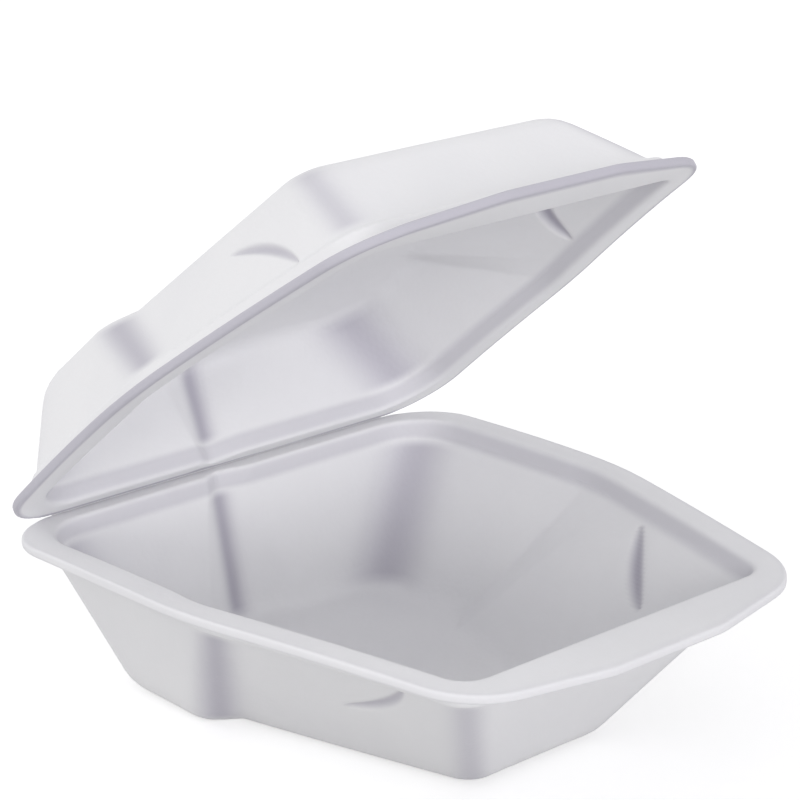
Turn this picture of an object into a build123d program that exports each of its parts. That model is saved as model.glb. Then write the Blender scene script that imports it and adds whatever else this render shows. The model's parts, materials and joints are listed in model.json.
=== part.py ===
from build123d import *
import math
import os

# Foam clamshell container, in millimetres, with its lid held partly open.
# Base and lid are the two halves of one moulded sheet, joined by a pressed
# crease that runs along X at the back. The origin is the middle of the flat
# foot of the base, +Z is up and the front of the container faces -Y.

sheet = 2.2                 # thickness of the foam sheet
lid_open = 38.5             # angle between the two rims, in degrees

# Rim of both halves: u runs across it, v runs from the crease to the front
rim_half_width = 67.5
rim_depth = 140.0           # crease to the front corners
rim_bend = 68.0             # v where the sides start to close in
rim_front_half_width = 50.5
rim_back_radius = 16.0
rim_bend_radius = 90.0
rim_front_radius = 20.0
tab_reach = 7.5             # the thumb tab in the middle stands out this far
tab_half_width = 16.5       # half of its straight edge, which slopes join to the corners
tab_radius = 20.0
edge_chamfer = 0.5          # softened edge of the rim, on its outer face

# Flat lip and the stepped seat inside it
lip = 7.0                   # width of the lip at the sides and the front
crease_lip = 5.0            # width of the lip along the crease
seat_depth = 4.0
seat_draft = 1.0
seat_ledge = 1.0
wall_inset = lip + seat_draft + seat_ledge
crease_draft = 0.14         # run per depth of the wall along the crease

# The crease: the sheet is pressed thin along it from outside
crease_sheet = 0.7
crease_press = 2.2          # how far the pressed slope reaches from the crease

# Walls, each half with a depth and a flat bottom of its own
wall = 2.6                  # the sheet measured level across a sloping wall
foot_margin = 1.3           # the same at the underside of the flat bottom
base_depth = 38.5           # inside, from the rim's plane to the floor
lid_depth = 25.8
base_floor_half_width = 34.0
lid_floor_half_width = 40.0
base_floor_front = 107.0
lid_floor_front = 116.0
lid_floor_taper = 0.05      # narrowing of the flat panel per length towards the front
corner_radius = 12.0
front_corner_radius = 5.0
least_radius = 0.5          # what a round corner keeps where its outline shrinks
floor_round = 5.0           # hollow between the walls and the flat bottom
floor_steps = 3             # bands that shape the hollow

# Back column: behind this step the side walls stand further out
column_lead = 2.0           # the column ends this far before the rim's bend
column_end_floor = 42.0
column_step_rim = 1.5
column_step_floor = 7.5
column_run_rim = 10.0
column_run_floor = 5.0

# Pleat pressed outwards in the middle of the wall along the crease
pleat_half_width_rim = 6.6
pleat_half_width_floor = 14.5
pleat_rise_rim = 2.0
pleat_rise_floor = 4.8

# Crescents pressed into the faces of the side walls: ends as (v, depth)
mark_width = 3.0
mark_depth = 0.9
inner_mark_start = (88.0, 6.0)
inner_mark_end = (100.0, 18.0)
inner_mark_bow = 1.5
outer_mark_start = (116.0, 7.0)
outer_mark_end = (91.0, 20.0)
outer_mark_bow = 2.8


def both_sides(half):
    """An outline from the corners (u, v, radius) of its right half, back to front.

    A radius of 0 is a crease.
    """
    return half + [(-u, v, radius) for u, v, radius in reversed(half) if u > 0]


def widen(corners, distance):
    """The outline with every side moved out by the distance."""
    moved = []
    for i, (u, v, radius) in enumerate(corners):
        before = corners[i - 1]
        after = corners[(i + 1) % len(corners)]
        enter = Vector(u - before[0], v - before[1]).normalized()
        leave = Vector(after[0] - u, after[1] - v).normalized()
        out = Vector(enter.Y + leave.Y, -enter.X - leave.X) / (1 + enter.dot(leave))
        turn = enter.X * leave.Y - enter.Y * leave.X
        grown = max(radius + distance * math.copysign(1, turn), least_radius) if radius else 0
        moved.append((u + distance * out.X, v + distance * out.Y, grown))
    return moved


def outline_face(plane, level, corners):
    """The area inside an outline, on the plane moved by the level."""
    with BuildSketch(plane.offset(level)) as area:
        with BuildLine():
            FilletPolyline(*[(u, v) for u, v, _ in corners], close=True,
                           radius=[radius for _, _, radius in corners])
        make_face()
    return area.sketch


def ruled_form(outlines):
    """The solid through outlines of one kind, with plain planes for its flat faces."""
    with BuildPart(mode=Mode.PRIVATE) as ruled:
        loft(outlines, ruled=True)
    return Solid(Shell([Face(face.outer_wire()) if face.is_planar else face
                        for face in ruled.faces()]))


def rim_outline():
    """Outer edge of the rim: square at the crease, bent sides, thumb tab in front."""
    return both_sides([
        (rim_half_width, 0, rim_back_radius),
        (rim_half_width, rim_bend, rim_bend_radius),
        (rim_front_half_width, rim_depth, rim_front_radius),
        (tab_half_width, rim_depth + tab_reach, tab_radius),
    ])


def seat_outline(inset, back):
    """The rim's plain shape moved in by the inset, with its back side at v = back, and the pleat."""
    shape = widen(both_sides([
        (rim_half_width, back - inset, corner_radius + wall_inset),
        (rim_half_width, rim_bend, rim_bend_radius),
        (rim_front_half_width, rim_depth, front_corner_radius + wall_inset),
    ]), -inset)
    pleat = [(0, back - pleat_rise_rim, 0), (pleat_half_width_rim, back, 0)]
    return both_sides(pleat + shape[:3])


def wall_outline(back, side, end, step, run, corner, pleat, rise):
    """One level of a wall: pleat at the back, then the back column, then the front corner."""
    return both_sides([
        (0, back - rise, 0),
        (pleat, back, 0),
        (side, back, corner_radius),
        (side, end, 0),
        (side - step, end + run, 0),
        (corner[0], corner[1], front_corner_radius),
    ])


def wall_top():
    """The walls where they leave the ledge under the seat."""
    back = crease_lip + crease_draft * seat_depth
    seat = seat_outline(wall_inset, back)
    corner = seat[len(seat) // 2]
    return wall_outline(back, rim_half_width - wall_inset, rim_bend - column_lead,
                        column_step_rim, column_run_rim, corner,
                        pleat_half_width_rim, pleat_rise_rim)


def wall_foot(depth, half_width, front, taper):
    """The walls where they meet the flat bottom."""
    back = crease_lip + crease_draft * depth
    corner = (half_width - taper * (front - column_end_floor - column_run_floor), front)
    return wall_outline(back, half_width + column_step_floor, column_end_floor,
                        column_step_floor, column_run_floor, corner,
                        pleat_half_width_floor, pleat_rise_floor)


def level_between(top, foot, share):
    """The outline part of the way down from the top of a wall to its foot."""
    return [tuple(a + (b - a) * share for a, b in zip(one, other))
            for one, other in zip(top, foot)]


def tray_form(plane, depth, foot, seat_grown, wall_grown, foot_grown, extra):
    """The seat, the sloping walls and the rounded flat bottom, as one solid."""
    mouth = widen(seat_outline(lip, crease_lip), seat_grown)
    seat_back = crease_lip + crease_draft * seat_depth
    seat = widen(seat_outline(lip + seat_draft, seat_back), seat_grown)
    top = widen(wall_top(), wall_grown)
    foot = widen(foot, foot_grown)
    height = depth + extra - seat_depth
    rounding = []
    for step in range(floor_steps + 1):
        angle = math.pi / 2 * step / floor_steps
        fall = height - floor_round * (1 - math.sin(angle))
        line = level_between(top, foot, fall / height)
        line = widen(line, -floor_round * (1 - math.cos(angle)))
        rounding.append(outline_face(plane, seat_depth + fall, line))
    with BuildPart(mode=Mode.PRIVATE) as form:
        add(ruled_form([outline_face(plane, 0, mouth), outline_face(plane, seat_depth + extra, seat)]))
        add(ruled_form([outline_face(plane, seat_depth, top)] + rounding))
    return form.part


def crease_groove(plane):
    """The wedge that presses the sheet thin along the crease, from its outer face."""
    with BuildPart(mode=Mode.PRIVATE) as groove:
        with BuildSketch(Plane(origin=plane.origin, x_dir=plane.y_dir, z_dir=plane.x_dir)):
            with BuildLine():
                Polyline((0, crease_sheet), (crease_press, sheet), (0, sheet), close=True)
            make_face()
        extrude(amount=rim_half_width, both=True)
    return groove.part


def rim_plate(plane):
    """The flat rim before it is opened, softened at its edge and pressed thin at the crease."""
    with BuildPart(mode=Mode.PRIVATE) as plate:
        extrude(outline_face(plane, 0, rim_outline()), amount=sheet, dir=plane.z_dir)
        crease = plate.faces().sort_by(Axis(plane.origin, plane.y_dir))[0]
        outer = plate.faces().sort_by(Axis(plane.origin, plane.z_dir))[-1].edges()
        chamfer(outer - crease.edges(), edge_chamfer)
        add(crease_groove(plane), mode=Mode.SUBTRACT)
    return plate.part


def mark_plane(plane, depth, foot, start, end, side):
    """A plane on the inner face of a side wall, its X along a mark from start to end."""
    def on_wall(v, w):
        line = level_between(wall_top(), foot, (w - seat_depth) / (depth - seat_depth))
        (u1, v1, _), (u2, v2, _) = line[4], line[5]
        return plane.from_local_coords(Vector(side * (u1 + (u2 - u1) * (v - v1) / (v2 - v1)), v, w))
    a, b, c = on_wall(*start), on_wall(*end), on_wall(start[0], end[1])
    out = (b - a).cross(c - a)
    if out.dot(plane.x_dir * side) < 0:
        out = -out
    return Plane(origin=(a + b) / 2, x_dir=b - a, z_dir=out)


def crescents(plane, depth, foot):
    """The curved marks pressed into both faces of both side walls."""
    slope = (wall_top()[2][0] - foot[2][0]) / (depth - seat_depth)
    thickness = wall * math.cos(math.atan(slope))
    with BuildPart(mode=Mode.PRIVATE) as marks:
        for side in (-1, 1):
            for start, end, bow, out in ((inner_mark_start, inner_mark_end, inner_mark_bow, 0),
                                         (outer_mark_start, outer_mark_end, outer_mark_bow, thickness)):
                place = mark_plane(plane, depth, foot, start, end, side)
                half = math.dist(start, end) / 2
                peak = math.copysign(bow, place.y_dir.dot(plane.z_dir))
                line = Edge.make_three_point_arc((-half, 0), (0, peak), (half, 0))
                with BuildSketch(place.offset(out)):
                    SlotArc(line, mark_width)
                extrude(amount=mark_depth, both=True)
    return marks.part


# The side walls of the base are flat, so its bottom narrows as the top of the walls does
behind, ahead = wall_top()[4:6]
base_floor_taper = (behind[0] - ahead[0]) / (ahead[1] - behind[1])
base_foot = wall_foot(base_depth, base_floor_half_width, base_floor_front, base_floor_taper)
lid_foot = wall_foot(lid_depth, lid_floor_half_width, lid_floor_front, lid_floor_taper)
base_height = base_depth + sheet
crease_y = (base_foot[1][1] + base_floor_front) / 2
crease_point = (0, crease_y, base_height)
tilt = math.radians(lid_open)

# Each half is drawn from its rim's plane into its own depth
base_plane = Plane(origin=crease_point, x_dir=(1, 0, 0), z_dir=(0, 0, -1))
lid_plane = Plane(origin=crease_point, x_dir=(-1, 0, 0),
                  z_dir=(0, math.sin(tilt), math.cos(tilt)))

with BuildPart() as base:
    add(rim_plate(base_plane))
    add(tray_form(base_plane, base_depth, base_foot, sheet, wall, foot_margin, sheet))
    add(tray_form(base_plane, base_depth, base_foot, 0, 0, 0, 0), mode=Mode.SUBTRACT)
    add(crescents(base_plane, base_depth, base_foot), mode=Mode.SUBTRACT)
base.part.label = "base"

with BuildPart() as lid:
    add(rim_plate(lid_plane))
    add(tray_form(lid_plane, lid_depth, lid_foot, sheet, wall, foot_margin, sheet))
    add(tray_form(lid_plane, lid_depth, lid_foot, 0, 0, 0, 0), mode=Mode.SUBTRACT)
    add(crescents(lid_plane, lid_depth, lid_foot), mode=Mode.SUBTRACT)
lid.part.label = "lid"

os.makedirs("parts", exist_ok=True)
export_step(base.part, "parts/base.step")
export_step(lid.part, "parts/lid.step")

for piece in (base, lid):
    print(piece.part.label, "solids", len(piece.part.solids()), "valid", piece.part.is_valid,
          "volume", round(piece.part.volume / 1000, 1), "cm3", piece.part.bounding_box())
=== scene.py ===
import json
import math
import bpy
import numpy as np
from mathutils import Matrix, Vector


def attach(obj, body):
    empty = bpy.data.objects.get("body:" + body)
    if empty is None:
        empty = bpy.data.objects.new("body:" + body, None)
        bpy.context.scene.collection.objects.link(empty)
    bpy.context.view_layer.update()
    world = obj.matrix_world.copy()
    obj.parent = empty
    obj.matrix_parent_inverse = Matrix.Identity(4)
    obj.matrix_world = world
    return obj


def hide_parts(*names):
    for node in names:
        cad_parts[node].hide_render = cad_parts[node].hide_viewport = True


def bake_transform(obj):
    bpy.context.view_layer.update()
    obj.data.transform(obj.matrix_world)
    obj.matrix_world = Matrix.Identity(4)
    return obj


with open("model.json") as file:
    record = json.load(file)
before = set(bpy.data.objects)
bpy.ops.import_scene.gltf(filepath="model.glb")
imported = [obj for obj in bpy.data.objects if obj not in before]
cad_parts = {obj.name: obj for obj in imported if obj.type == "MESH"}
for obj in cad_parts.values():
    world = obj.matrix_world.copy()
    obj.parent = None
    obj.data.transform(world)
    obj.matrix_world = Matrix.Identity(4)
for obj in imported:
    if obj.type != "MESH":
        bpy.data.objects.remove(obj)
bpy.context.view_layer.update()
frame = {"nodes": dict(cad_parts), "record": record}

mm = 0.001
hinge = frame["record"]["behaviour"]["joints"][0]
creasePoint = np.array(hinge["pos_m"])
lidAngle = math.radians(-hinge["range_deg"][0])      # how far the lid stands open at rest


def feed(links, socket, value):
    # A socket gets a setting, or a link where the value is another node's socket.
    if isinstance(value, bpy.types.NodeSocket):
        links.new(value, socket)
    else:
        socket.default_value = value


def addPiece(name, mesh):
    piece = bpy.data.objects.new(name, mesh)
    bpy.context.scene.collection.objects.link(piece)
    return piece


# Finish of the foam
foamLook = {
    "colour": (0.87, 0.87, 0.875, 1.0),
    "shade": (0.83, 0.83, 0.845, 1.0),    # where the cells lie denser
    "paintedShade": (0.45, 0.435, 0.5, 1.0),      # painted shade where the sheet is folded, cut or pressed, and on the seat under the rim
    "roughness": 0.5,
    "roughnessShade": 0.62,
    "cellScale": 800.0,                   # cells about 1.2 mm across
    "cellHeight": 0.00005,
    "waveScale": 38.0,                    # slow waves left by the mould
    "waveHeight": 0.0006,
    "waveDetail": 2.0,
}
mixSockets = {"FLOAT": (2, 3, 0), "RGBA": (6, 7, 2)}    # a mix node's two ends and its result


def foamGrainGroup(waveDetail):
    # Puts out a mask that varies over the surface and a bumped normal.
    group = bpy.data.node_groups.new("foamGrain", "ShaderNodeTree")
    for name in ("Cell Scale", "Cell Height", "Wave Scale", "Wave Height"):
        group.interface.new_socket(name, in_out="INPUT", socket_type="NodeSocketFloat")
    group.interface.new_socket("Mask", in_out="OUTPUT", socket_type="NodeSocketFloat")
    group.interface.new_socket("Normal", in_out="OUTPUT", socket_type="NodeSocketVector")
    nodes, links = group.nodes, group.links
    entry = nodes.new("NodeGroupInput")
    leave = nodes.new("NodeGroupOutput")
    place = nodes.new("ShaderNodeTexCoord")
    cells = nodes.new("ShaderNodeTexVoronoi")
    waves = nodes.new("ShaderNodeTexNoise")
    waves.inputs["Detail"].default_value = waveDetail
    links.new(place.outputs["Object"], cells.inputs["Vector"])
    links.new(place.outputs["Object"], waves.inputs["Vector"])
    links.new(entry.outputs["Cell Scale"], cells.inputs["Scale"])
    links.new(entry.outputs["Wave Scale"], waves.inputs["Scale"])
    waveBump = nodes.new("ShaderNodeBump")
    links.new(entry.outputs["Wave Height"], waveBump.inputs["Distance"])
    links.new(waves.outputs["Fac"], waveBump.inputs["Height"])
    cellBump = nodes.new("ShaderNodeBump")
    cellBump.invert = True
    links.new(entry.outputs["Cell Height"], cellBump.inputs["Distance"])
    links.new(cells.outputs["Distance"], cellBump.inputs["Height"])
    links.new(waveBump.outputs["Normal"], cellBump.inputs["Normal"])
    links.new(waves.outputs["Fac"], leave.inputs["Mask"])
    links.new(cellBump.outputs["Normal"], leave.inputs["Normal"])
    return group


def mixedBy(nodes, links, mask, low, high, kind):
    # Value or colour between two ends, by a mask.
    mix = nodes.new("ShaderNodeMix")
    mix.data_type = kind
    lowPlace, highPlace, result = mixSockets[kind]
    links.new(mask, mix.inputs[0])
    feed(links, mix.inputs[lowPlace], low)
    feed(links, mix.inputs[highPlace], high)
    return mix.outputs[result]


def foamMaterial(name, look):
    material = bpy.data.materials.new(name)
    material.use_nodes = True
    nodes, links = material.node_tree.nodes, material.node_tree.links
    shader = nodes["Principled BSDF"]
    pattern = nodes.new("ShaderNodeGroup")
    pattern.node_tree = foamGrainGroup(look["waveDetail"])
    pattern.inputs["Cell Scale"].default_value = look["cellScale"]
    pattern.inputs["Cell Height"].default_value = look["cellHeight"]
    pattern.inputs["Wave Scale"].default_value = look["waveScale"]
    pattern.inputs["Wave Height"].default_value = look["waveHeight"]
    mask = pattern.outputs["Mask"]
    # Painted shade: a per-point attribute darkens the colour towards the shade colour at folds, cut edges,
    # the seat and the marks.
    paintedShade = nodes.new("ShaderNodeAttribute")
    paintedShade.attribute_name = "paintedShade"
    plain = mixedBy(nodes, links, mask, look["shade"], look["colour"], "RGBA")
    paintedShadeColour = mixedBy(nodes, links, paintedShade.outputs["Fac"], plain, look["paintedShade"], "RGBA")
    rough = mixedBy(nodes, links, mask, look["roughnessShade"], look["roughness"], "FLOAT")
    links.new(paintedShadeColour, shader.inputs["Base Color"])
    links.new(rough, shader.inputs["Roughness"])
    links.new(pattern.outputs["Normal"], shader.inputs["Normal"])
    return material


foam = foamMaterial("whiteFoam", foamLook)
for node in frame["nodes"].values():
    node.data.materials.clear()
    node.data.materials.append(foam)
print("stage: foam on the frame's nodes")

# Both halves, in millimetres: u across, v from the crease to the front, w from the rim into the depth
rimShape = {
    "sheet": 2.2, "halfWidth": 67.5, "depth": 140.0, "bend": 68.0, "frontHalfWidth": 50.5,
    "backRadius": 16.0, "bendRadius": 90.0, "frontRadius": 20.0,
    "tabReach": 7.5, "tabHalfWidth": 16.5, "tabRadius": 20.0,
    "sideShare": 0.6,        # where a point divides the straight side before the bend
    "creaseSheet": 0.7, "creasePress": 1.5,
    "gap": 0.04,             # keeps the two rims apart when the lid is shut
}
seatShape = {
    "lip": 7.0, "creaseLip": 5.0, "depth": 4.0, "draft": 1.0, "ledge": 1.0, "creaseDraft": 0.14,
    "ledgeSlope": 0.35,      # how far the ledge falls from level, in depth
    "sideShare": 0.85,       # as the rim's
}
wallShape = {
    "thickness": 2.6, "footMargin": 1.3, "cornerRadius": 12.0, "frontRadius": 5.0,
    "columnEndRim": 66.0, "columnEndFoot": 42.0, "columnStepRim": 1.5, "columnStepFoot": 7.5,
    "columnRunRim": 10.0, "columnRunFoot": 5.0,
    "pleatRim": 6.6, "pleatFoot": 14.5, "pleatRiseRim": 2.0, "pleatRiseFoot": 4.8,
    "pleatShiftRim": -3.0, "pleatShiftFoot": 1.0, "valleyShift": -2.6,   # the pleat leans to one side
    "creaseRadius": 4.0,     # softness of the pleat and the column's edge
    "floorRound": 6.0,
    "frontShare": 0.45,      # most of the front's half width that the tab's corner may stand at
}
wallInset = seatShape["lip"] + seatShape["draft"] + seatShape["ledge"]


def unit(vectors):
    # Each vector over its own length.
    return vectors / np.linalg.norm(vectors, axis=-1, keepdims=True)


def smooth(share):
    # Three times the square less twice the cube, from 0 to 1.
    share = np.clip(share, 0, 1)
    return share ** 2 * (3 - 2 * share)


def rounded(enter, corner, leave, weight, count):
    # A quadratic curve: its ends weigh the squares of 1 - t and t, the corner weighs twice their
    # product times its own weight, and the sum is divided by the sum of the weights.
    t = np.linspace(0, 1, count).reshape(-1, *[1] * np.ndim(corner))
    first, middle, last = (1 - t) ** 2, 2 * t * (1 - t) * weight, t ** 2
    return (first * enter + middle * corner + last * leave) / (first + middle + last)


# Samples along the outline: for each corner of the right half and for the run after it
outlineShape = {
    "arcs": (7, 5, 14, 5, 5, 3, 11, 5), "runs": (7, 26, 24, 7, 52, 48, 14, 14),
    "room": 0.45,            # most of a side that the arc at one of its ends may take
    "leastReach": 1.0,       # what an arc takes of each side at least, in millimetres
    "leastRadius": 0.8,      # of a corner that was moved
}


def sampleCounts():
    # Points of each corner's arc and of the run after it, for the whole outline.
    arcs, runs = outlineShape["arcs"], outlineShape["runs"]
    return arcs + arcs[:0:-1], runs + runs[-2::-1]


def mirrored(half):
    # All corners (u, v, radius) from those of the right half, back to front, the first on the middle line.
    half = np.array(half, float)
    return np.concatenate([half, half[:0:-1] * (-1, 1, 1)])


def widened(corners, distance):
    # Each corner moves by distance times the sum of its sides' normals over one plus their cosine.
    # Its radius gains the distance where the outline turns outwards and loses it where it turns in.
    place = corners[:, :2]
    enter = unit(place - np.roll(place, 1, 0))
    leave = unit(np.roll(place, -1, 0) - place)
    out = np.stack([enter[:, 1] + leave[:, 1], -enter[:, 0] - leave[:, 0]], 1)
    out = out / (1 + (enter * leave).sum(1))[:, None]
    turn = enter[:, 0] * leave[:, 1] - enter[:, 1] * leave[:, 0]
    radius = np.maximum(corners[:, 2] + distance * np.sign(turn), outlineShape["leastRadius"])
    return np.column_stack([place + distance * out, radius])


def outline(corners):
    # Each corner is an arc that takes its radius times the tangent of half its turn of either side.
    # The corner's weight is the cosine of half the turn, and a straight run leads to the next corner.
    place = corners[:, :2]
    back, ahead = np.roll(place, 1, 0) - place, np.roll(place, -1, 0) - place
    room = outlineShape["room"] * np.minimum(np.linalg.norm(back, axis=1), np.linalg.norm(ahead, axis=1))
    back, ahead = unit(back), unit(ahead)
    halfTurn = np.arccos(np.clip(-(back * ahead).sum(1), -1, 1)) / 2
    reach = np.maximum(corners[:, 2] * np.tan(halfTurn), outlineShape["leastReach"])
    reach = np.minimum(reach, room)[:, None]
    enter, leave, weight = place + back * reach, place + ahead * reach, np.cos(halfTurn)
    points = []
    for i, (arc, run) in enumerate(zip(*sampleCounts())):
        points.append(rounded(enter[i], place[i], leave[i], weight[i], arc))
        points.append(np.linspace(leave[i], enter[(i + 1) % len(place)], run + 2)[1:-1])
    return np.concatenate(points)


def leaning(corners, shift, side):
    # The pleat's ridges and valley move along the crease by the shift, and the valley by its own too.
    corners[[0, 1, -1], 0] += shift * side
    corners[0, 0] += wallShape["valleyShift"] * side
    return corners


def rimCorners():
    # The rim: back corner, straight side, wide bend, front corner and tab.
    s = rimShape
    return mirrored([
        (0, 0, 0), (wallShape["pleatFoot"], 0, 0), (s["halfWidth"], 0, s["backRadius"]),
        (s["halfWidth"], s["sideShare"] * s["bend"], 0), (s["halfWidth"], s["bend"], s["bendRadius"]),
        ((s["halfWidth"] + s["frontHalfWidth"]) / 2, (s["bend"] + s["depth"]) / 2, 0),
        (s["frontHalfWidth"], s["depth"], s["frontRadius"]),
        (s["tabHalfWidth"], s["depth"] + s["tabReach"], s["tabRadius"]),
    ])


def seatCorners(inset, level, side):
    # The rim's plain shape moved in by the inset, with the pleat at the crease, at that depth.
    s, back = rimShape, seatShape["creaseLip"] + seatShape["creaseDraft"] * level
    plain = widened(mirrored([
        (0, back - inset, 0), (s["halfWidth"], back - inset, wallShape["cornerRadius"] + wallInset),
        (s["halfWidth"], s["bend"], s["bendRadius"]),
        (s["frontHalfWidth"], s["depth"], wallShape["frontRadius"] + wallInset),
    ]), -inset)
    corner, bend, front = plain[1:4]
    return leaning(mirrored([
        (0, back - wallShape["pleatRiseRim"], wallShape["creaseRadius"]),
        (wallShape["pleatRim"], back, wallShape["creaseRadius"]),
        corner, (corner[0], seatShape["sideShare"] * bend[1], 0),
        bend, ((bend[0] + front[0]) / 2, (bend[1] + front[1]) / 2, 0),
        front, (s["tabHalfWidth"], front[1], 0),
    ]), wallShape["pleatShiftRim"], side)


def wallCorners(back, halfWidth, end, step, run, front, pleat, rise):
    # One level of a wall: pleat at the back, then the back column up to its end, then, a step further
    # in and a run ahead, the plain side to the front corner.
    soft = wallShape["creaseRadius"]
    plainSide, plainStart = halfWidth - step, end + run
    return mirrored([
        (0, back - rise, soft), (pleat, back, soft), (halfWidth, back, wallShape["cornerRadius"]),
        (halfWidth, end, soft), (plainSide, plainStart, soft),
        ((plainSide + front[0]) / 2, (plainStart + front[1]) / 2, 0),
        (front[0], front[1], wallShape["frontRadius"]),
        (min(rimShape["tabHalfWidth"], wallShape["frontShare"] * front[0]), front[1], 0),
    ])


def wallEnds(shape):
    # Corners of the inner wall at its top, under the seat, and at its foot.
    s, level = wallShape, seatShape["depth"]
    front = seatCorners(wallInset, level, 1)[6]
    top = wallCorners(seatShape["creaseLip"] + seatShape["creaseDraft"] * level,
                      rimShape["halfWidth"] - wallInset, s["columnEndRim"], s["columnStepRim"],
                      s["columnRunRim"], front, s["pleatRim"], s["pleatRiseRim"])
    narrow = shape["taper"] * (shape["front"] - s["columnEndFoot"] - s["columnRunFoot"])
    foot = wallCorners(seatShape["creaseLip"] + seatShape["creaseDraft"] * shape["depth"],
                       shape["halfWidth"] + s["columnStepFoot"], s["columnEndFoot"],
                       s["columnStepFoot"], s["columnRunFoot"],
                       (shape["halfWidth"] - narrow, shape["front"]), s["pleatFoot"], s["pleatRiseFoot"])
    return leaning(top, s["pleatShiftRim"], shape["side"]), leaning(foot, s["pleatShiftFoot"], shape["side"])


# The sheet's section: softness of its folds in millimetres, and rows of points between them
sectionShape = {
    "softTop": 1.3, "softLedge": 0.8, "softLip": 1.2, "softEdge": 0.8,
    "wallRows": 46, "outerWallRows": 42, "seatRows": 3, "outerSeatRows": 2, "rimRows": 5,
    "floorShares": (0.06, 0.3, 0.55, 0.78),      # rings in the flat bottom, as shares of its outline
    "foldPoints": 6,
    "foldRoom": 0.45,        # most of the way to the next ring that a fold may take
}


def controlRings(shape):
    # The rings that the sheet's section runs through, each with its softness and the rows after it.
    sheet, level, fall, gap = rimShape["sheet"], seatShape["depth"], seatShape["ledgeSlope"], rimShape["gap"]
    thick, inDepth, outDepth = wallShape["thickness"], shape["depth"], shape["depth"] + rimShape["sheet"]
    top, foot = wallEnds(shape)
    outerTop, outerFoot = widened(top, thick), widened(foot, wallShape["footMargin"])
    topShare = (sheet + fall) / (outDepth - level)
    lip = seatCorners(seatShape["lip"], 0, shape["side"])
    ledge = seatCorners(seatShape["lip"] + seatShape["draft"], level, shape["side"])
    rim, floor, under = outline(rimCorners()), outline(foot), outline(outerFoot)
    middle = np.array([0.0, (foot[0, 1] + shape["front"]) / 2])
    press = smooth(rim[:, 1] / rimShape["creasePress"])
    edge = rimShape["creaseSheet"] + (sheet - rimShape["creaseSheet"]) * press
    s, soft, shares = sectionShape, wallShape["floorRound"], sectionShape["floorShares"]
    rows = [(middle + (floor - middle) * share, inDepth, 0, 1) for share in shares[:-1]]
    rows += [
        (middle + (floor - middle) * shares[-1], inDepth, 0, 2),
        (floor, inDepth, soft, s["wallRows"]),
        (outline(top), level + fall, s["softTop"], 1),
        (outline(ledge), level - fall, s["softLedge"], s["seatRows"]),
        (outline(lip), gap, s["softLip"], s["rimRows"]),
        (rim, gap, s["softEdge"], 0),
        (rim, edge, s["softEdge"], s["rimRows"]),
        (outline(widened(lip, sheet)), sheet, s["softLip"], s["outerSeatRows"]),
        (outline(widened(ledge, sheet)), level + sheet - fall, s["softLedge"], 1),
        (outline(outerTop + (outerFoot - outerTop) * topShare), level + sheet + fall, s["softTop"],
         s["outerWallRows"]),
        (under, outDepth, soft + thick / 2, 2),
    ]
    rows += [(middle + (under - middle) * share, outDepth, 0, 1) for share in shares[::-1]]
    rings = np.array([np.column_stack([ring, np.broadcast_to(w, len(ring))]) for ring, w, _, _ in rows])
    return rings, [row[2] for row in rows], [row[3] for row in rows], middle


def sectionRows(rings, softness, counts):
    # Straight rows between control rings, and at each soft ring a quadratic curve about the ring,
    # whose ends lie the softness away from it.
    ahead = rings[1:] - rings[:-1]
    length = np.linalg.norm(ahead, axis=2, keepdims=True)
    ahead = ahead / length
    grid, start = [], rings[0]
    for j in range(1, len(rings) - 1):
        room = sectionShape["foldRoom"] * np.minimum(length[j - 1], length[j])
        reach = np.minimum(softness[j], room)
        stop, end = rings[j] - ahead[j - 1] * reach, rings[j] + ahead[j] * reach
        grid.append(np.linspace(start, stop, counts[j - 1] + 2)[:-1])
        if softness[j]:
            grid.append(rounded(stop, rings[j], end, 1.0, sectionShape["foldPoints"])[:-1])
        start = end
    grid.append(np.linspace(start, rings[-1], counts[-2] + 2))
    return np.concatenate(grid)


# Marks on the side walls: ends as (v, depth), bow of the line between them, width, depth and how dark their
# painted shade is
markShape = {
    "inner": {"bow": 1.5, "width": 6.4, "press": 1.3, "paintedShade": 1.0},
    "outer": {"ends": ((116.5, 6.8), (91.5, 20.5)), "bow": 2.2, "width": 3.8, "press": 0.9, "paintedShade": 0.75},
}
markLens = {
    "widthPower": 0.6, "pressPower": 0.3,        # how fast a mark fades towards its ends
    "sideShare": 0.35,       # of the rim's half width, further out than which the marks lie
    "leastWidth": 1e-6,
}


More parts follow.
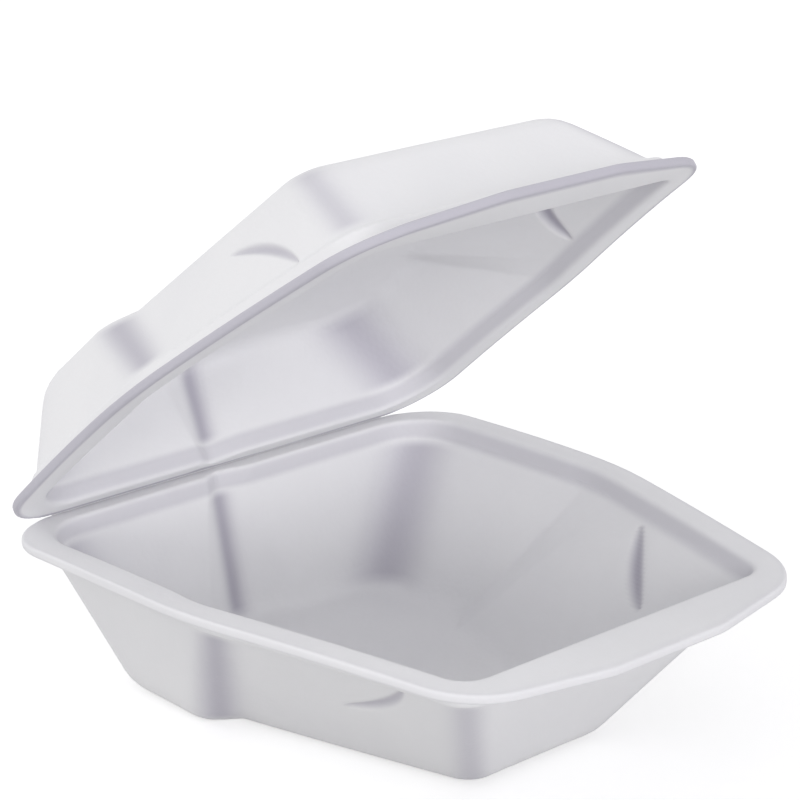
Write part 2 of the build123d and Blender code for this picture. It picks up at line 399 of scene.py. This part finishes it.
def pressMarks(grid, shape):
    # Each mark is a lens along its chord, one less the square of the way from its middle. The face
    # sinks by the square of one less the squared distance from the middle line over the half width.
    # The grid is changed in place, and the marks' painted shade comes back.
    top, foot = wallEnds(shape)
    lean = math.atan((top[4, 0] - foot[4, 0]) / (shape["depth"] - seatShape["depth"]))
    side = np.sign(grid[..., 0])
    inner = np.arange(len(grid))[:, None] < len(grid) / 2
    onSide = np.abs(grid[..., 0]) > markLens["sideShare"] * rimShape["halfWidth"]
    paintedMarkShade = np.zeros(grid.shape[:2])
    for name, onFace, sink in (("inner", inner, 1.0), ("outer", ~inner, -1.0)):
        mark = markShape[name]
        start, end = (np.array([v, w / math.cos(lean)]) for v, w in mark.get("ends", shape["innerMark"]))
        along = unit(end - start)
        across = np.array([-along[1], along[0]]) * np.sign(along[0])
        flat = np.stack([grid[..., 1], grid[..., 2] / math.cos(lean)], -1) - (start + end) / 2
        lens = np.clip(1 - (2 * (flat @ along) / np.linalg.norm(end - start)) ** 2, 0, 1)
        away = (flat @ across) - mark["bow"] * lens
        half = mark["width"] / 2 * lens ** markLens["widthPower"] + markLens["leastWidth"]
        share = np.clip(1 - (away / half) ** 2, 0, 1) ** 2 * lens ** markLens["pressPower"]
        share = np.where(onFace & onSide, share, 0)
        paintedMarkShade += share * mark["paintedShade"]
        grid[..., 0] += side * share * mark["press"] * sink * math.cos(lean)
        grid[..., 2] += share * mark["press"] * sink * math.sin(lean)
    return paintedMarkShade


# Painted shade at the folds: the corner of the outline (3.5 lies between two), how dark inside and outside,
# and how wide
paintedFoldShade = {
    "pleat": {"corner": 0, "inside": 0.9, "outside": 0.3, "width": 2.8},
    "backCorner": {"corner": 2, "inside": 0.8, "outside": 0.1, "width": 8.0},
    "columnStep": {"corner": 3.5, "inside": 0.0, "outside": 0.8, "width": 4.4},
    "frontCorner": {"corner": 6, "inside": 0.2, "outside": 0.55, "width": 3.6},
}
paintedShadeBands = {
    "wallFade": 3.0,         # depth in which the painted shade of the walls' folds fades, at the seat and at the floor
    "seat": 0.4,             # how dark the painted shade on the seat under the rim is
    "seatRise": 1.5, "seatPast": 1.5, "seatFall": 2.0,   # how it comes, how far it goes on and how it ends
    "edgeEnd": 2.2,          # end of the painted shade band along the cut edge, in halves of the sheet from its middle
}


def paintedShadeMask(grid, shape):
    # Painted shade: a bell curve of the distance along the outline from each fold, on the walls between seat
    # and floor, a band along the cut edge by the distance along the section, and a band on the seat.
    arcs, runs = sampleCounts()
    starts = np.concatenate([[0], np.cumsum(np.add(arcs, runs))[:-1]])
    step = np.linalg.norm(np.roll(grid, -1, 1) - grid, axis=2)
    along = np.cumsum(step, 1) - step
    whole = step.sum(1)[:, None]
    inner = np.arange(len(grid))[:, None] < len(grid) / 2
    w = np.where(inner, grid[..., 2], grid[..., 2] - rimShape["sheet"])
    fade, seat = paintedShadeBands["wallFade"], seatShape["depth"]
    wall = smooth((w - seat) / fade) * smooth((shape["depth"] - w) / fade)
    paintedShade = np.zeros(grid.shape[:2])
    for look in paintedFoldShade.values():
        for i in {look["corner"], (len(arcs) - look["corner"]) % len(arcs)}:
            ends = [starts[k] + arcs[k] // 2 for k in (math.floor(i), math.ceil(i))]
            away = np.abs(along - along[:, ends].mean(1, keepdims=True))
            away = np.minimum(away, whole - away)
            dark = np.where(inner, look["inside"], look["outside"])
            paintedShade = np.maximum(paintedShade, np.exp(-(away / look["width"]) ** 2) * dark * wall)
    section = np.linalg.norm(np.diff(grid, axis=0), axis=2).cumsum(0)
    section = np.concatenate([np.zeros((1, grid.shape[1])), section])
    reach = np.hypot(grid[..., 0], grid[..., 1] - rimShape["depth"] / 2)
    away = np.abs(section - section[np.argmax(reach, 0), np.arange(grid.shape[1])])
    edge = smooth(paintedShadeBands["edgeEnd"] - away / (rimShape["sheet"] / 2))
    under = smooth(w / paintedShadeBands["seatRise"])
    under = under * smooth((seat + paintedShadeBands["seatPast"] - w) / paintedShadeBands["seatFall"])
    return np.maximum(paintedShade, np.maximum(shape["paintedEdgeShade"] * edge, paintedShadeBands["seat"] * inner * under))


def bowRim(grid, shape):
    # In place: the rim rises by the bow times four v (1 - v), v running from 0 to 1 along its length,
    # less and less towards the flat bottom.
    v = np.clip(grid[..., 1] / rimShape["depth"], 0, 1)
    hold = np.clip(1 - grid[..., 2] / shape["depth"], 0, 1)
    grid[..., 2] += shape["bow"] * 4 * v * (1 - v) * hold


def intoPlace(points, body):
    # From (u, v, w) in millimetres into the frame. The base has X = u, Y = -v and Z = -w from the
    # crease. The lid has X = -u, Y = w sin a - v cos a and Z = w cos a + v sin a, at its angle a.
    u, v, w = points[..., 0], points[..., 1], points[..., 2]
    cosine, sine = math.cos(lidAngle), math.sin(lidAngle)
    if body == "lid":
        placed = np.stack([-u, w * sine - v * cosine, w * cosine + v * sine], -1)
    else:
        placed = np.stack([u, -v, -w], -1)
    return placed * mm + creasePoint


def shellMesh(name, grid, first, last, paintedShade):
    # A grid of closed rows with a pole at each end, as one closed surface, with the painted shade kept on
    # each point.
    rows, around = grid.shape[:2]
    points = np.concatenate([grid.reshape(-1, 3), [first, last]])
    index = np.arange(rows * around).reshape(rows, around)
    turned = np.roll(index, -1, 1)
    quads = np.stack([index[:-1], turned[:-1], turned[1:], index[1:]], -1).reshape(-1, 4)
    poles = np.full(around, rows * around)
    caps = np.concatenate([np.stack([poles, turned[0], index[0]], 1),
                           np.stack([index[-1], turned[-1], poles + 1], 1)])
    mesh = bpy.data.meshes.new(name)
    mesh.from_pydata(points.tolist(), [], quads.tolist() + caps.tolist())
    mesh.polygons.foreach_set("use_smooth", np.ones(len(mesh.polygons), bool))
    paintedShadeLayer = mesh.attributes.new("paintedShade", "FLOAT", "POINT")
    paintedShadeLayer.data.foreach_set("value", np.append(paintedShade.ravel(), [0.0, 0.0]))
    mesh.materials.append(foam)
    return addPiece(name, mesh)


def foamHalf(name, body, shape):
    # One half: its section run round the outline, folded, pressed, bowed and put into place, with painted
    # shade at its folds, seat, cut edge and marks.
    rings, softness, counts, middle = controlRings(shape)
    grid = sectionRows(rings, softness, counts)
    paintedShade = paintedShadeMask(grid, shape)
    paintedShade = np.maximum(paintedShade, pressMarks(grid, shape))
    bowRim(grid, shape)
    poles = np.array([[*middle, shape["depth"]], [*middle, shape["depth"] + rimShape["sheet"]]])
    first, last = intoPlace(poles, body)
    piece = shellMesh(name, intoPlace(grid, body), first, last, paintedShade)
    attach(piece, body)
    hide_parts(body)
    print("stage:", name, grid.shape, "triangles", 2 * grid.shape[0] * grid.shape[1])


# What differs between the halves; side is 1 or -1, because the lid is mirrored about the crease, and the
# painted shade along the cut edge is much darker on the lid
baseShape = {
    "side": 1, "depth": 38.5, "halfWidth": 34.0, "front": 107.0, "taper": 0.2646, "bow": -1.7,
    "innerMark": ((89.0, 5.4), (103.0, 18.2)), "paintedEdgeShade": 0.1,
}
lidShape = {
    "side": -1, "depth": 25.8, "halfWidth": 40.0, "front": 116.0, "taper": 0.05, "bow": 2.4,
    "innerMark": ((87.0, 4.8), (96.0, 18.2)), "paintedEdgeShade": 0.8,
}
foamHalf("foamBase", "base", baseShape)
foamHalf("foamLid", "lid", lidShape)

# The crease: a sector of thin foam about the crease line, from the base's outer side round to the lid's at
# rest
creaseShape = {"radius": 0.62, "halfWidth": 51.0, "steps": 9}


def creaseWeb(shape):
    # Points at one radius from the base's outer side round to the lid's, carried along X.
    turn = np.linspace(-math.pi / 2, math.pi / 2 - lidAngle, shape["steps"])
    arc = np.stack([np.cos(turn), np.sin(turn)], 1) * shape["radius"]
    section = np.concatenate([[[0.0, 0.0]], arc])
    count = len(section)
    ends = [np.column_stack([np.full(count, x), section]) for x in (-shape["halfWidth"], shape["halfWidth"])]
    points = np.concatenate(ends) * mm + creasePoint
    index = np.arange(count)
    after = np.roll(index, -1)
    sides = np.stack([index, after, after + count, index + count], 1)
    caps = [index[::-1].tolist(), (index + count).tolist()]
    mesh = bpy.data.meshes.new("creaseWeb")
    mesh.from_pydata(points.tolist(), [], sides.tolist() + caps)
    mesh.polygons.foreach_set("use_smooth", np.zeros(len(mesh.polygons), bool))
    mesh.materials.append(foam)
    piece = addPiece("creaseWeb", mesh)
    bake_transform(piece)


creaseWeb(creaseShape)
print("stage: both halves and the crease")

# Floor: pale, and seen as white where no shadow falls
floorLook = {"size": 8.0, "colour": (0.62, 0.62, 0.62, 1.0), "lift": 0.56, "glow": (1.0, 1.0, 1.0, 1.0)}


def mathNode(nodes, links, operation, first, second):
    node = nodes.new("ShaderNodeMath")
    node.operation = operation
    feed(links, node.inputs[0], first)
    feed(links, node.inputs[1], second)
    return node.outputs[0]


def whereSeen(nodes, links):
    # One where the camera, a reflection or glass looks, and none for light on the object.
    path = nodes.new("ShaderNodeLightPath")
    seen = path.outputs["Is Camera Ray"]
    for name in ("Is Glossy Ray", "Is Transmission Ray"):
        seen = mathNode(nodes, links, "MAXIMUM", seen, path.outputs[name])
    return seen


def makeFloor(look):
    half = look["size"] / 2
    mesh = bpy.data.meshes.new("floor")
    mesh.from_pydata([(-half, -half, 0), (half, -half, 0), (half, half, 0), (-half, half, 0)],
                     [], [(0, 1, 2, 3)])
    floor = addPiece("floor", mesh)
    material = bpy.data.materials.new("paleFloor")
    material.use_nodes = True
    nodes, links = material.node_tree.nodes, material.node_tree.links
    shader = nodes["Principled BSDF"]
    shader.inputs["Base Color"].default_value = look["colour"]
    shader.inputs["Roughness"].default_value = 1.0
    shader.inputs["Specular IOR Level"].default_value = 0.0
    shader.inputs["Emission Color"].default_value = look["glow"]
    lift = mathNode(nodes, links, "MULTIPLY", whereSeen(nodes, links), look["lift"])
    links.new(lift, shader.inputs["Emission Strength"])
    mesh.materials.append(material)


makeFloor(floorLook)

# Lights: an even cool sky, and soft lamps low in front, high behind on the left and low in front on the left
lightSet = {
    "suns": (
        {"from": (-0.1, -1.0, 0.14), "power": 1.0, "angle": 35.0, "colour": (0.97, 0.955, 1.0)},
        {"from": (-0.6, 0.6, 0.6), "power": 0.55, "angle": 35.0, "colour": (1.0, 1.0, 0.98)},
        {"from": (-0.85, -0.5, 0.2), "power": 0.5, "angle": 14.0, "colour": (1.0, 0.99, 0.97)},
    ),
    "skyColour": (0.98, 0.975, 1.0, 1.0), "skyStrength": 0.72,
    "backColour": (1.0, 1.0, 1.0, 1.0),          # of the background where it is seen
}


def makeSun(look):
    data = bpy.data.lights.new("softSun", "SUN")
    data.energy = look["power"]
    data.angle = math.radians(look["angle"])
    data.color = look["colour"]
    lamp = addPiece("softSun", data)
    lamp.location = look["from"]
    lamp.rotation_mode = "QUATERNION"
    lamp.rotation_quaternion = Vector(look["from"]).to_track_quat("Z", "Y")


def makeSky(look):
    world = bpy.data.worlds.new("sky")
    bpy.context.scene.world = world
    world.use_nodes = True
    nodes, links = world.node_tree.nodes, world.node_tree.links
    sky = nodes["Background"]
    sky.inputs["Color"].default_value = look["skyColour"]
    sky.inputs["Strength"].default_value = look["skyStrength"]
    white = nodes.new("ShaderNodeBackground")
    white.inputs["Color"].default_value = look["backColour"]
    both = nodes.new("ShaderNodeMixShader")
    links.new(whereSeen(nodes, links), both.inputs[0])
    links.new(sky.outputs[0], both.inputs[1])
    links.new(white.outputs[0], both.inputs[2])
    links.new(both.outputs[0], nodes["World Output"].inputs["Surface"])


for sun in lightSet["suns"]:
    makeSun(sun)
makeSky(lightSet)
print("stage: floor and lights")

# Camera, fitted to both rims in the photo; its aim is measured from the crease point
cameraSet = {
    "azimuth": -42.14, "elevation": 18.86, "roll": -0.12,     # degrees
    "distance": 0.69396, "focalPixels": 2802.95, "imagePixels": 800.0,
    "aim": (0.04233, -0.01691, 0.01088), "sensor": 36.0,
}


def makeCamera(look):
    # Its back points along azimuth and elevation, and the other two axes are rolled about it.
    a, e, r = (math.radians(look[key]) for key in ("azimuth", "elevation", "roll"))
    back = Vector((math.sin(a) * math.cos(e), -math.cos(a) * math.cos(e), math.sin(e)))
    right = Vector((0, 0, 1)).cross(back).normalized()
    up = back.cross(right)
    turnedRight = right * math.cos(r) + up * math.sin(r)
    turnedUp = up * math.cos(r) - right * math.sin(r)
    data = bpy.data.cameras.new("camera")
    data.sensor_width = look["sensor"]
    data.lens = look["focalPixels"] / look["imagePixels"] * look["sensor"]
    camera = addPiece("camera", data)
    axes = Matrix((turnedRight, turnedUp, back)).transposed()
    aim = Vector(creasePoint) + Vector(look["aim"])
    camera.matrix_world = Matrix.Translation(aim + back * look["distance"]) @ axes.to_4x4()
    bpy.context.scene.camera = camera


makeCamera(cameraSet)
bpy.context.scene.view_settings.view_transform = "Standard"
print("stage: camera")
